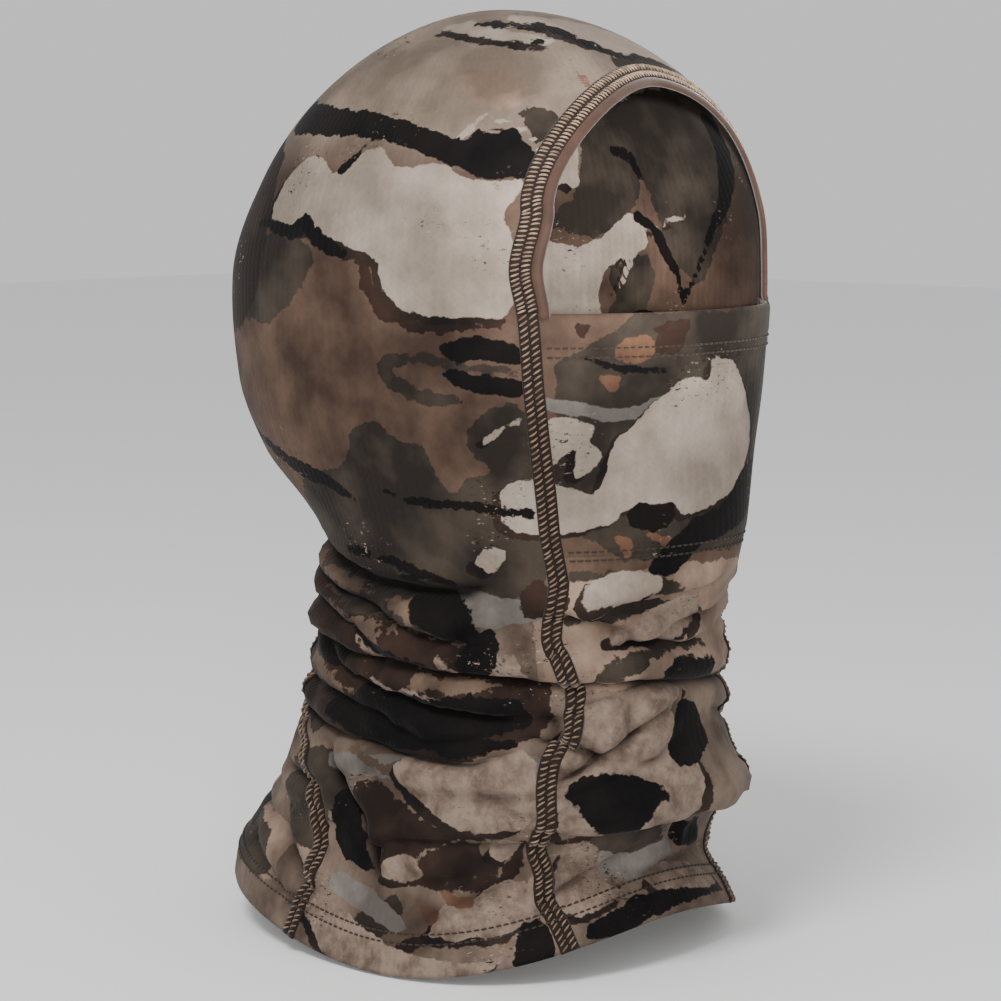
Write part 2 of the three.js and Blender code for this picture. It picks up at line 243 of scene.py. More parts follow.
def small_folds(count):
    """Short wrinkles between the deep folds."""
    out = []
    for _ in range(count):
        phi = RNG.uniform(-180, 180)
        u = RNG.uniform(190, 262) if RNG.random() < 0.75 else RNG.uniform(262, 294)
        half = RNG.uniform(9, 26)
        slope = RNG.normal(0, 0.22)
        bow = RNG.uniform(-4, 4)
        line = [(phi + k * half, u + slope * k * half + bow * k * k) for k in (-1, -0.4, 0.3, 1)]
        out.append((line, RNG.uniform(0.9, 2.2), RNG.uniform(1.6, 2.8), RNG.uniform(0.4, 1.1)))
    return out


ALL_FOLDS = FOLDS + far_folds() + small_folds(110)
CREASE_ROUND = 0.7
ROLL = 1.5               # how far a roll stands out above its crease
DROOP = 1.15             # and how far it hangs over it


def from_crease(pts, q):
    """Distance of each place q from a crease line, the same signed positive below it, and the
    share of the line's length at which the place lies."""
    best = np.full(len(q), 1e9)
    signed = np.zeros(len(q))
    along = np.zeros(len(q))
    lengths = np.linalg.norm(np.diff(pts, axis=0), axis=1)
    done = 0.0
    for p0, p1, length in zip(pts[:-1], pts[1:], lengths):
        d = (p1 - p0) / length
        t = np.clip((q - p0) @ d, 0, length)
        gap = q - p0 - t[:, None] * d
        dist = np.linalg.norm(gap, axis=1)
        closer = dist < best
        best = np.where(closer, dist, best)
        side = np.sign(d[0] * gap[:, 1] - d[1] * gap[:, 0]) * np.sign(d[0] + 1e-6)
        signed = np.where(closer, side * dist, signed)
        along = np.where(closer, (done + t) / lengths.sum(), along)
        done += length
    return best, signed, along


def fold_height(phi, u):
    """Outward height of the folds, and how far the rolls droop, in millimetres."""
    height = np.zeros(np.shape(phi))
    droop = np.zeros(np.shape(phi))
    for line, depth, width, roll in ALL_FOLDS:
        pts = np.array(line, float) * (FOLD_SCALE, 1)
        for turn in (-360, 0, 360):
            a = (phi + turn) * FOLD_SCALE
            low, high = pts.min(0) - 5 * width, pts.max(0) + 5 * width
            near = (a > low[0]) & (a < high[0]) & (u > low[1]) & (u < high[1])
            if not near.any():
                continue
            best, signed, along = from_crease(pts, np.stack([a[near], u[near]], -1))
            fade = ease(along, 0, 0.22) * (1 - ease(along, 0.78, 1))
            sharp = np.sqrt(best ** 2 + CREASE_ROUND ** 2) - CREASE_ROUND
            crease = -depth * np.exp(-sharp / (0.95 * width))
            above = np.exp(-((signed + 1.4 * width) / (1.15 * width)) ** 2)
            below = np.exp(-((signed - 2.1 * width) / (1.6 * width)) ** 2)
            height[near] += fade * (crease + ROLL * roll * above + 0.45 * roll * below)
            droop[near] += fade * DROOP * roll * np.exp(-((signed + 0.8 * width) / width) ** 2)
    return height, droop


SETTLED = (170.0, 184.0)      # the cloth lies smooth on the head and begins to bunch over these depths


def stitch_groove(phi, u):
    """Dents along the needle rows and the step of each doubled hem."""
    height = np.zeros(np.shape(phi))
    front = np.abs(phi) < front_seam(u) + 1
    for row in NOSE_ROWS + CHIN_ROWS:
        height -= 0.45 * np.exp(-((u - row) / 0.9) ** 2) * front
    for row in HEM_ROWS:
        height -= 0.45 * np.exp(-((u - row) / 0.9) ** 2)
    height += 0.5 * ease(u, HEM_ROWS[0] - 1.5, HEM_ROWS[0] + 0.5)
    height += 0.4 * (1 - ease(u, NOSE_ROWS[1] - 0.5, NOSE_ROWS[1] + 1.5)) * front * (u > NOSE_EDGE - 1)
    return height


def bunching(u):
    """How far the cloth is bunched at each depth: 0 on the head, 1 round the neck, less at the hem."""
    return ease(u, *SETTLED) * (1 - 0.75 * ease(u, 292, 312))


def worn(phi, u):
    """Points of the worn cloth's outer face, folds and all."""
    phi, u = np.broadcast_arrays(np.asarray(phi, float), np.asarray(u, float))
    points = base_place(phi, u)
    n = normals_of(base_place, phi, u)
    height, droop = fold_height(phi, u)
    swell = CLOTH + stitch_groove(phi, u)
    points = points + n * (height * bunching(u) + swell)[..., None]
    points[..., 2] -= droop * bunching(u)
    return points


# ---- mesh code ------------------------------------------------------------------------------
def new_object(name, verts, faces, attributes):
    mesh = bpy.data.meshes.new(name)
    mesh.from_pydata((np.asarray(verts) * MM).tolist(), [], [tuple(int(k) for k in f) for f in faces])
    for key, values in attributes.items():
        layer = mesh.attributes.new(key, "FLOAT", "POINT")
        layer.data.foreach_set("value", np.asarray(values, np.float32))
    mesh.polygons.foreach_set("use_smooth", [True] * len(mesh.polygons))
    mesh.update()
    obj = bpy.data.objects.new(name, mesh)
    bpy.context.scene.collection.objects.link(obj)
    return obj


def apply_modifiers(obj):
    bpy.ops.object.select_all(action="DESELECT")
    obj.select_set(True)
    bpy.context.view_layer.objects.active = obj
    for modifier in list(obj.modifiers):
        bpy.ops.object.modifier_apply(modifier=modifier.name)


def weld(patches):
    """Joins grids of (phi, u) rows into one list of places and faces, sharing equal corners."""
    index, phis, us, faces = {}, [], [], []
    for phi, u, flip in patches:
        flat = base_place(phi, u)
        keys = np.round(flat * 500).astype(int)
        ids = np.zeros(phi.shape, int)
        for i in range(phi.shape[0]):
            for j in range(phi.shape[1]):
                key = tuple(keys[i, j])
                if key not in index:
                    index[key] = len(phis)
                    phis.append(phi[i, j])
                    us.append(u[i, j])
                ids[i, j] = index[key]
        for i in range(phi.shape[0] - 1):
            for j in range(phi.shape[1] - 1):
                face = [ids[i, j], ids[i, j + 1], ids[i + 1, j + 1], ids[i + 1, j]]
                face = [k for n, k in enumerate(face) if k != face[n - 1]]
                if len(set(face)) > 2:
                    faces.append(face[::-1] if flip else face)
    return np.array(phis), np.array(us), faces


def cloth_piece(name, patches, place, thickness=JERSEY, inner_slot=True):
    """A sheet of knit with its printed outside, its inside and its cut edges."""
    phi, u, faces = weld(patches)
    verts = place(phi, u)
    obj = new_object(name, verts, faces, printed(phi, u))
    solid = obj.modifiers.new("thickness", "SOLIDIFY")
    solid.thickness = thickness * MM
    solid.offset = -1
    solid.use_even_offset = False
    solid.use_quality_normals = True
    if inner_slot:
        solid.material_offset = 1
    apply_modifiers(obj)
    return obj


RIB_DEGREES = 2.25


def rib_phase(phi):
    """Ribs of the knit counted from the face."""
    return np.abs(phi) / RIB_DEGREES


# ---- the printed pattern --------------------------------------------------------------------
# Printed shapes by colour: outlines of (phi, u) corners, and strokes of (phi, u, half-width in
# mm).  Their signed distances go to the mesh, and the material tears their edges.
SHAPES = {
    "brown": [
        [(150, 40), (126, 46), (118, 70), (122, 96), (136, 112), (160, 100)],
        [(146, 188), (96, 200), (56, 205), (35, 217), (34, 236), (52, 243), (72, 243), (104, 240),
         (146, 236)],
        [(94, 256), (84, 254), (70, 263), (57, 268), (66, 274), (84, 279), (90, 267)],
        [(66, 274), (54, 269), (46, 285), (56, 288), (75, 285)],
        [(16, 101), (7, 100), (9, 112), (16, 112)],
        [(32, 101), (29, 101), (31, 107)],
        [(40, 186), (30, 190), (34, 200), (42, 198)],
        [(-30, 190), (-46, 186), (-50, 230), (-34, 226)],
    ],
    "olive": [
        [(36, 98), (-44, 98), (-46, 180), (36, 180)],
        [(112, 74), (96, 80), (103, 91), (109, 99), (117, 105), (130, 104), (132, 95), (124, 76)],
        [(112, 156), (98, 152), (93, 150), (90, 146), (87, 137), (78, 134), (74, 140), (66, 140),
         (63, 148), (59, 158), (54, 152), (48, 149), (55, 141), (52, 130), (42, 125), (36, 150),
         (36, 194), (96, 203), (124, 190), (122, 166)],
        [(43, 33), (31, 36), (38, 48)],
        [(26, 272), (16, 267), (4, 274), (-8, 290), (8, 300), (20, 295)],
        [(92, 303), (84, 295), (74, 288), (72, 297), (82, 307)],
        [(13, 17), (-9, 15), (-24, 22), (6, 25)],
        [(150, 306), (152, 290), (130, 286), (122, 304)],
        [(132, 264), (108, 247), (97, 261), (106, 285), (122, 283)],
        [(-122, 74), (-109, 80), (-99, 75), (-87, 60), (-93, 46), (-106, 38), (-111, 62)],
        [(-104, 92), (-90, 83), (-86, 92), (-91, 110), (-104, 112), (-100, 100)],
        [(-106, 38), (-86, 29), (-61, 25), (-38, 28), (-46, 51), (-60, 74), (-70, 96), (-79, 90),
         (-84, 74), (-88, 56), (-94, 44)],
        [(170, 60), (150, 74), (156, 96), (176, 88)],
    ],
    "tan": [
        [(40, 190), (10, 182), (-24, 186), (-30, 220), (10, 226), (36, 224)],
        [(62, 21), (42, 21), (38, 29), (46, 36), (57, 30)],
        [(8, 100), (0, 99), (2, 108), (9, 111)],
        [(140, 299), (144, 284), (119, 282), (119, 304)],
        [(108, 231), (92, 229), (94, 243), (110, 242)],
        [(119, 278), (106, 283), (108, 294)],
        [(59, 165), (44, 163), (39, 168), (39, 174), (57, 174)],
        [(54, 156), (48, 151), (40, 160), (52, 160)],
        [(44, 298), (36, 276), (38, 303)],
    ],
    "pale": [
        [(120, 70), (116, 54), (105, 48), (95, 56), (84, 44), (72, 54), (62, 50), (52, 58), (40, 55),
         (47, 66), (44, 76), (43, 99), (60, 100), (70, 98), (76, 90), (77, 81), (98, 74), (110, 72)],
        [(47, 3), (10, 3), (-16, 7), (-30, 14), (-27, 23), (-10, 17), (8, 15), (24, 8)],
        [(92, 7), (68, 4), (23, 11), (32, 14), (57, 10)],
        [(38, 133), (35, 130), (27, 134), (29, 139), (25, 143), (28, 150), (32, 151), (31, 140),
         (37, 149)],
        [(36, 167), (26, 157), (24, 141), (14, 126), (7, 119), (0, 122), (0, 113), (-9, 116),
         (-21, 142), (-14, 158), (6, 167), (10, 161), (20, 162)],
        [(29, 192), (25, 185), (18, 183), (10, 187), (18, 192)],
        [(47, 153), (37, 151), (29, 156), (20, 164), (30, 170), (46, 169)],
        [(34, 246), (32, 233), (18, 226), (0, 227), (3, 240), (-4, 262), (-1, 268), (22, 276), (34, 274)],
        [(33, 279), (22, 279), (18, 297), (11, 304), (32, 306)],
        [(6, 300), (-9, 296), (-23, 302), (-25, 308), (2, 307)],
        [(51, 274), (46, 270), (41, 273), (46, 280)],
        [(81, 279), (72, 275), (67, 280), (72, 285), (80, 284)],
        [(62, 290), (55, 292), (47, 285), (39, 288), (38, 304), (66, 303)],
        [(108, 301), (93, 297), (72, 306), (52, 311), (44, 309), (52, 315), (71, 317), (93, 316)],
        [(74, 242), (55, 244), (38, 243), (38, 268), (56, 268), (68, 260), (80, 250)],
        [(66, 206), (56, 211), (43, 208), (38, 216), (54, 216)],
        [(55, 180), (50, 174), (45, 176), (48, 184)],
        [(24, 208), (12, 198), (0, 194), (-6, 204), (10, 211)],
        [(-124, 80), (-109, 83), (-92, 67), (-88, 83), (-102, 88), (-106, 99), (-104, 112), (-126, 112)],
        [(-122, 47), (-108, 40), (-111, 62), (-116, 58), (-125, 66)],
    ],
    "rust": [
        [(25, 109), (18, 104), (15, 108), (17, 114), (24, 114)],
        [(28, 118), (23, 118), (24, 124)],
        [(17, 170), (10, 173), (7, 179), (12, 176)],
        [(23, 170), (21, 176), (19, 180), (18, 173)],
        [(63, 286), (54, 290), (54, 294), (60, 292)],
        [(69, 290), (62, 294), (65, 300)],
        [(26, 21), (21, 24), (24, 28)],
        [(96, 236), (88, 232), (86, 240)],
    ],
    "dark": [
        [(132, 42), (136, 30), (112, 33), (84, 35), (62, 42), (55, 45), (52, 39), (49, 43), (44, 39),
         (38, 49), (40, 56), (50, 56), (61, 51), (75, 45), (106, 42)],
        [(62, 111), (60, 108), (52, 105), (42, 109), (42, 115), (51, 112), (55, 114)],
        [(62, 116), (54, 117), (42, 119), (42, 125), (51, 124), (57, 122)],
        [(6, 168), (-6, 165), (-16, 151), (-30, 149), (-24, 165), (-14, 172), (2, 177), (9, 187),
         (16, 184)],
        [(20, 163), (17, 160), (13, 162), (9, 160), (9, 167), (13, 171), (20, 169)],
        [(34, 258), (26, 254), (17, 255), (7, 263), (14, 264), (18, 269), (26, 266)],
        [(0, 233), (-6, 237), (-12, 251), (-3, 258), (5, 257), (3, 245)],
        [(28, 309), (13, 305), (0, 306), (-24, 310), (2, 312), (16, 315), (26, 314)],
        [(-7, 278), (-19, 280), (-24, 291), (-10, 290)],
        [(9, 216), (-10, 218), (-10, 225), (4, 227)],
        [(60, 211), (50, 198), (46, 209), (53, 216)],
        [(114, 235), (87, 220), (64, 222), (42, 224), (38, 234), (62, 240), (90, 239)],
        [(102, 262), (96, 258), (90, 272), (84, 285), (98, 282)],
        [(84, 181), (55, 193), (50, 206), (68, 201)],
        [(43, 301), (36, 302), (34, 316), (44, 316)],
        [(128, 206), (100, 212), (108, 222), (130, 220)],
    ],
}
STROKES = {
    "bark": [
        [(122, 199, 1.6), (104, 201, 2.2), (84, 204, 1.4)],
        [(100, 226, 1.4), (84, 229, 1.9), (66, 233, 1.2)],
        [(72, 218, 1.2), (58, 220, 1.9), (46, 221, 1.4)],
        [(132, 222, 1.2), (118, 225, 2.2), (104, 226, 1)],
        [(84, 193, 1), (70, 195, 1.8), (60, 197, 1.2)],
        [(66, 252, 0.8), (58, 255, 2.6), (49, 253, 1.2)],
        [(96, 246, 1), (82, 250, 2), (70, 247, 1)],
        [(60, 300, 1), (48, 304, 2.2), (40, 309, 1)],
        [(96, 208, 1), (84, 210, 2.4), (70, 211, 1)],
        [(118, 188, 1.2), (104, 190, 2.6), (90, 190, 1)],
        [(28, 248, 1), (20, 246, 1.8), (10, 250, 1)],
    ],
    "grey": [
        [(38, 127, 2.2), (30, 129, 2.4), (24, 131, 2.4), (18, 130, 2.2), (8, 125, 2.4), (-4, 128, 2)],
        [(106, 253, 3), (77, 248, 4), (58, 250, 4), (40, 249, 4)],
        [(96, 291, 3.4), (84, 293, 3.8), (74, 298, 3)],
        [(60, 192, 4), (48, 196, 4.5), (38, 197, 3)],
        [(24, 288, 5), (8, 296, 5), (-6, 292, 4)],
    ],
    "olive": [
        [(53, 126, 1.4), (60, 126, 2), (66, 125, 2.4), (72, 122, 2.6), (76, 117, 2.6), (74, 114, 2.2),
         (68, 113, 1.8), (60, 114, 2), (54, 116, 1.6), (43, 117, 1.2)],
        [(150, 230, 4), (132, 236, 5), (118, 244, 4)],
        [(31, 200, 2), (16, 196, 2.6), (2, 198, 1.6)],
        [(24, 216, 1.4), (8, 212, 2.2), (-8, 214, 1.4)],
        [(112, 194, 2), (96, 196, 3), (82, 198, 1.8)],
        [(90, 216, 2.2), (72, 214, 3), (60, 216, 2)],
        [(30, 184, 1.4), (16, 186, 1.8), (6, 190, 1.2)],
    ],
    "brown": [
        [(90, 79, 2), (81, 82, 2.4), (80, 90, 2.6), (76, 97, 2.6), (70, 102, 2.4), (60, 103, 1.9),
         (47, 101, 1.3)],
        [(72, 306, 2.2), (60, 299, 2.6), (50, 291, 2.8), (44, 283, 2.6), (42, 274, 2)],
    ],
    "pale": [
        [(58, 44, 0.8), (54, 40, 1.1), (50, 35, 0.7)],
        [(48, 37, 0.9), (41, 41, 1.1), (38, 47, 1.4)],
        [(50, 139, 0.8), (47, 136, 1), (43, 132, 0.9)],
        [(88, 219, 1.2), (70, 222, 1.4), (50, 226, 1.1)],
        [(96, 206, 0.9), (82, 210, 1.3), (72, 214, 1)],
        [(-100, 100, 1), (-90, 76, 1.2), (-74, 70, 1)],
    ],
    "dark": [
        [(124, 71, 1.6), (108, 74, 2.4), (103, 71, 2.8), (96, 77, 3), (88, 80, 1.6)],
        [(80, 158, 0.8), (68, 160, 1.6), (59, 161, 1.5), (52, 161, 1.2), (40, 163, 1.5)],
        [(140, 143, 1.2), (128, 147, 1.8), (112, 154, 2.8), (100, 157, 2.8), (92, 162, 0.8)],
        [(102, 179, 0.8), (80, 181, 1.2), (61, 186, 1)],
        [(63, 6, 0.9), (47, 6, 1.3), (37, 8, 1), (24, 7, 1.4), (16, 11, 1.6), (9, 14, 1.2), (10, 16, 1)],
        [(41, 13, 0.9), (36, 14, 1.2), (31, 12, 0.9)],
        [(94, 54, 1.6), (88, 48, 1.4)],
        [(-96, 47, 1.6), (-90, 49, 1.8), (-88, 58, 1.4)],
        [(-92, 71, 2.2), (-86, 75, 1.8), (-83, 83, 2), (-78, 92, 1.6), (-76, 101, 1.6), (-70, 87, 1),
         (-64, 74, 1.6), (-58, 66, 3), (-50, 52, 5), (-46, 39, 5)],
        [(30, 112, 0.9), (22, 116, 1.1), (12, 117, 0.8)],
        [(38, 219, 1.2), (24, 221, 1.8), (8, 223, 1.5), (-8, 224, 2.4), (-22, 223, 1.2)],
        [(98, 204, 0.9), (80, 208, 2.2), (62, 211, 1.2)],
        [(76, 236, 1), (60, 239, 2.4), (44, 240, 1.6)],
    ],
}
PRINT_COLOURS = ("grey", "tan", "olive", "brown", "bark", "pale", "rust", "dark")
FAR_FROM_SHAPE = 14.0


TO_BACK, TO_FAR = 108, 218           # degrees from a shape on the near side to its repeats
MIRROR_SHIFT = 28                    # and that its mirror image is moved by


def copies(corners):
    """A printed shape, and where it clears the listed shapes, its repeats elsewhere."""
    phi, u, *rest = np.array(corners, float).T
    yield np.array([phi, u, *rest]).T
    moved = phi + TO_BACK
    if moved.min() > 138 and (moved.max() < 242 or u.min() > 110):
        yield np.array([moved, np.maximum(0.94 * u - 2, 5), *rest]).T
    turned = -phi - MIRROR_SHIFT
    if turned.max() < -44 and (u.min() > 108 or turned.max() < -128):
        yield np.array([turned, np.minimum(u + 3, U_HEM), *rest]).T
    across = phi + TO_FAR
    if across.min() > 232 and across.max() < 318 and u.min() > 104:
        yield np.array([across, 0.92 * u + 8, *rest]).T


def in_chart(corners, phi, u):
    """The shape and the places near it on a flat chart in millimetres about its middle."""
    middle = corners[:, :2].mean(0)
    scale = math.radians(np.linalg.norm(base_place(*middle)[:2]))
    around = ((phi - middle[0] + 180) % 360 - 180) * scale
    places = np.stack([around, u - middle[1]], -1)
    flat = (corners[:, :2] - middle) * (scale, 1)
    low, high = flat.min(0) - FAR_FROM_SHAPE, flat.max(0) + FAR_FROM_SHAPE
    near = np.all((places > low) & (places < high), axis=1)
    return flat, places[near], near


def rounded(corners):
    """An outline with each corner cut off."""
    ahead = np.roll(corners, -1, 0)
    cut = np.stack([0.8 * corners + 0.2 * ahead, 0.2 * corners + 0.8 * ahead], 1)
    return cut.reshape(-1, 2)


def outline_distance(flat, places):
    """Signed distance to a closed outline, positive inside."""
    distance = np.full(len(places), 1e9)
    inside = np.zeros(len(places), bool)
    for p0, p1 in zip(flat, np.roll(flat, -1, 0)):
        d = p1 - p0
        t = np.clip((places - p0) @ d / (d @ d), 0, 1)
        distance = np.minimum(distance, np.linalg.norm(places - p0 - t[:, None] * d, axis=1))
        crosses = (p0[1] > places[:, 1]) != (p1[1] > places[:, 1])
        meets = p0[0] + (places[:, 1] - p0[1]) * d[0] / (d[1] if d[1] else 1)
        inside ^= crosses & (places[:, 0] < meets)
    return np.where(inside, distance, -distance)


def stroke_distance(flat, widths, places):
    """Signed distance to a stroke of changing width, positive inside."""
    distance = np.full(len(places), -1e9)
    for p0, p1, r0, r1 in zip(flat[:-1], flat[1:], widths[:-1], widths[1:]):
        d = p1 - p0
        t = np.clip((places - p0) @ d / (d @ d), 0, 1)
        away = np.linalg.norm(places - p0 - t[:, None] * d, axis=1)
        distance = np.maximum(distance, r0 + (r1 - r0) * t - away)
    return distance


def print_fields(phi, u, colours=PRINT_COLOURS):
    """For every printed colour, millimetres inside its nearest shape at each place."""
    fields = {}
    for colour in colours:
        field = np.full(len(phi), -FAR_FROM_SHAPE)
        for corners in SHAPES.get(colour, []):
            for shape in copies(corners):
                flat, places, near = in_chart(shape, phi, u)
                field[near] = np.maximum(field[near], outline_distance(rounded(flat), places))
        for line in STROKES.get(colour, []):
            for stroke in copies(line):
                flat, places, near = in_chart(stroke, phi, u)
                field[near] = np.maximum(field[near], stroke_distance(flat, stroke[:, 2], places))
        fields[colour] = field
    return fields


CREASE_SHADE_DEPTH = 3.2       # a crease this deep gets the darkest painted shade, in millimetres
CAST = (2.0, 2.2)        # where a printed shadow lies from its shape, in degrees and millimetres


def printed(phi, u):
    """All that the material of the knit reads from the mesh."""
    shadow = print_fields(phi - CAST[0] * np.sign(phi + 0.1), u - CAST[1], ["pale"])["pale"]
    # painted shade: how deep each place lies in a fold's crease, from 0 to 1, which the material darkens
    painted_crease_shade = np.clip(-fold_height(phi, u)[0] * bunching(u) / CREASE_SHADE_DEPTH, 0, 1)
    return {**print_fields(phi, u), "cast": shadow, "rib": rib_phase(phi), "depth": u, "painted_crease_shade": painted_crease_shade}


# ---- shader expressions ---------------------------------------------------------------------
class Socket:
    """A value socket, so that shader maths reads as arithmetic."""

    def __init__(self, shader, socket):
        self.shader, self.socket = shader, socket

    def _math(self, operation, *values):
        return self.shader.node("ShaderNodeMath", {"operation": operation}, *values)

    def __add__(self, other):
        return self._math("ADD", self, other)

    def __radd__(self, other):
        return self._math("ADD", other, self)

    def __sub__(self, other):
        return self._math("SUBTRACT", self, other)

    def __rsub__(self, other):
        return self._math("SUBTRACT", other, self)

    def __mul__(self, other):
        return self._math("MULTIPLY", self, other)

    def __rmul__(self, other):
        return self._math("MULTIPLY", other, self)

    def __truediv__(self, other):
        return self._math("DIVIDE", self, other)

    def clamp(self):
        return self._math("MINIMUM", self._math("MAXIMUM", self, 0.0), 1.0)

    def wave(self):
        return self._math("SINE", self)


def linear(red, green, blue):
    """A display colour of 0 to 255 as the linear colour that a shader takes."""
    parts = [c / 255 for c in (red, green, blue)]
    return tuple(c / 12.92 if c <= 0.04045 else ((c + 0.055) / 1.055) ** 2.4 for c in parts) + (1.0,)


CLOTH_GLOSS = 0.09       # specular level: cloth and thread reflect far less than plastic


class Shader:
    """A material under construction."""

    def __init__(self, name, roughness, sheen=0.0):
        self.material = bpy.data.materials.new(name)
        self.material.use_nodes = True
        self.tree = self.material.node_tree
        self.surface = self.tree.nodes["Principled BSDF"]
        self.surface.inputs["Roughness"].default_value = roughness
        self.surface.inputs["Specular IOR Level"].default_value = CLOTH_GLOSS
        if sheen:
            self.surface.inputs["Sheen Weight"].default_value = sheen
            self.surface.inputs["Sheen Roughness"].default_value = 0.45

    def node(self, kind, settings, *inputs, output=0, **named):
        made = self.tree.nodes.new(kind)
        for key, value in settings.items():
            setattr(made, key, value)
        for key, value in [*enumerate(inputs), *named.items()]:
            if isinstance(value, Socket):
                self.tree.links.new(value.socket, made.inputs[key])
            else:
                made.inputs[key].default_value = value
        return Socket(self, made.outputs[output])

    def attribute(self, name):
        return self.node("ShaderNodeAttribute", {"attribute_name": name}, output="Fac")

    def place(self):
        return self.node("ShaderNodeTexCoord", {}, output="Object")

    def noise(self, scale, detail=2.0, roughness=0.5, stretch=None):
        where = self.place()
        if stretch:
            where = self.node("ShaderNodeMapping", {}, where, Scale=stretch)
        return self.node("ShaderNodeTexNoise", {}, Vector=where, Scale=scale, Detail=detail,
                         Roughness=roughness)

    def mix(self, amount, first, second):
        made = self.tree.nodes.new("ShaderNodeMix")
        made.data_type = "RGBA"
        for index, value in ((0, amount), (6, first), (7, second)):
            if isinstance(value, Socket):
                self.tree.links.new(value.socket, made.inputs[index])
            else:
                made.inputs[index].default_value = value
        return Socket(self, made.outputs[2])

    def set(self, name, socket):
        self.tree.links.new(socket.socket, self.surface.inputs[name])

    def bump(self, height, strength, distance):
        made = self.node("ShaderNodeBump", {}, Strength=strength, Distance=distance, Height=height)
        self.set("Normal", made)


def edge(field, softness=0.35):
    """1 inside a printed shape and 0 outside it, over a narrow border."""
    return (field / softness + 0.5).clamp()


def knit_bump(shader, strength):
    """Fine loops of the jersey and the faint ribs down the cloth."""
    rib = (shader.attribute("rib") * (2 * math.pi)).wave()
    course = (shader.attribute("depth") * (2 * math.pi / 2.4)).wave()
    loops = shader.noise(1500, 2, 0.6, (1, 1, 0.45))
    slub = shader.noise(260, 3, 0.6)
    shader.bump(rib * 0.3 + rib * course * 0.25 + loops * 0.6 + slub * 0.4, strength, 0.0003)
    return rib * (course * 0.5 + 0.5), loops


def camo_knit(name, fade):
    """The printed jersey.  fade is 0 on the outside and more on the paler inside."""
    shader = Shader(name, 0.78, 0.03)
    broad = shader.noise(75, 4, 0.62) - 0.5
    middling = shader.noise(180, 3, 0.6) - 0.5
    fine = shader.noise(420, 3, 0.6) - 0.5
    cloud = shader.noise(38, 3, 0.55)
    mottle = shader.noise(120, 4, 0.65)
    grain = shader.noise(420, 3, 0.7)
    depth = shader.attribute("depth")

    def tone(rgb):
        grey = sum(rgb) / 3
        greyed = [c + (grey - c) * 0.3 * fade for c in rgb]
        return linear(*(c + (222 - c) * 0.85 * fade * math.sqrt(c / 222) for c in greyed))

    def shape(colour, torn):
        """How far inside a torn printed shape a place is, in millimetres."""
        return shader.attribute(colour) + (broad + middling) * torn + fine * (torn * 0.5)

    def lay(under, colour, torn, dull, bright, contrast=4.0):
        """Prints one colour over the others, clouded between two tones."""
        ink = shader.mix(((cloud - 0.42) * contrast).clamp(), tone(dull), tone(bright))
        return shader.mix(edge(shape(colour, torn)), under, ink)

    crown_tone = shader.mix(((cloud - 0.4) * 4).clamp(), tone((92, 80, 70)), tone((120, 106, 93)))
    side_cloud = ((mottle * 0.2 + cloud - 0.46) * 3).clamp()
    side_tone = shader.mix(side_cloud, tone((53, 40, 33)), tone((92, 73, 61)))
    throat_tone = shader.mix(((cloud - 0.4) * 4).clamp(), tone((66, 54, 46)), tone((110, 95, 83)))
    colour = shader.mix(((depth - 42) / 14).clamp(), crown_tone, side_tone)
    colour = shader.mix(((depth - 196 + broad * 60) / 10).clamp(), colour, throat_tone)
    colour = lay(colour, "tan", 4.0, (94, 78, 67), (142, 120, 104))
    colour = lay(colour, "olive", 4.5, (33, 28, 24), (62, 54, 46))
    colour = lay(colour, "grey", 2.5, (78, 72, 68), (112, 105, 100))
    colour = lay(colour, "brown", 5.0, (26, 18, 15), (52, 37, 30))
    colour = lay(colour, "bark", 5.5, (62, 50, 42), (106, 88, 74))
    colour = lay(colour, "cast", 3.0, (16, 12, 12), (48, 36, 30))
    worn_pale = shader.mix(((cloud - 0.42) * 4).clamp(), tone((122, 110, 98)), tone((150, 138, 126)))
    neck_pale = shader.mix(((mottle - 0.35) * 4).clamp(), tone((84, 70, 61)), tone((124, 107, 95)))
    pale_ink = shader.mix(((depth - 188 + broad * 40) / 14).clamp(), worn_pale, neck_pale)
    colour = shader.mix(edge(shape("pale", 3.0)), colour, pale_ink)
    colour = lay(colour, "rust", 3.5, (68, 47, 37), (104, 75, 57))
    colour = lay(colour, "dark", 3.4, (5, 4, 5), (18, 13, 12))
    # litter: small dark and light flecks in loose drifts
    drift = ((shader.noise(30, 2, 0.5) - 0.56) * 12).clamp()
    fleck = shader.noise(330, 4, 0.7, (1, 1, 2.2))
    colour = shader.mix(edge((fleck - 0.62) * 30, 0.6) * drift, colour, tone((20, 15, 14)))
    colour = shader.mix(edge((0.36 - fleck) * 30, 0.6) * drift * 0.8, colour, tone((150, 134, 119)))
    # painted shade: the creases of the folds are darkened towards near black on the outside
    colour = shader.mix(shader.attribute("painted_crease_shade") * (0.9 * (1 - fade)), colour, tone((12, 9, 8)))
    rib, loops = knit_bump(shader, 0.3)
    shade = (loops - 0.5) * 0.25 + (grain - 0.5) * 0.22 + (mottle - 0.5) * 0.3 + rib * 0.035
    colour = shader.mix((shade + 0.08).clamp(), colour, tone((22, 18, 16)))
    shader.set("Base Color", colour)
    shader.set("Roughness", 0.68 + grain * 0.2)
    return shader.material


def seam_thread():
    """Dark cover thread with light looping thread across it, told apart by an attribute."""
    shader = Shader("seam_thread", 0.7, 0.15)
    loop = shader.attribute("loop")
    wear = shader.noise(300, 3, 0.6)
    light = shader.mix(((wear - 0.35) * 3).clamp(), linear(146, 124, 103), linear(86, 68, 54))
    ground = shader.mix(wear, linear(16, 11, 9), linear(44, 32, 25))
    shader.set("Base Color", shader.mix(loop, ground, light))
    twist = shader.noise(2200, 2, 0.5)
    shader.bump(twist, 0.4, 0.0002)
    return shader.material


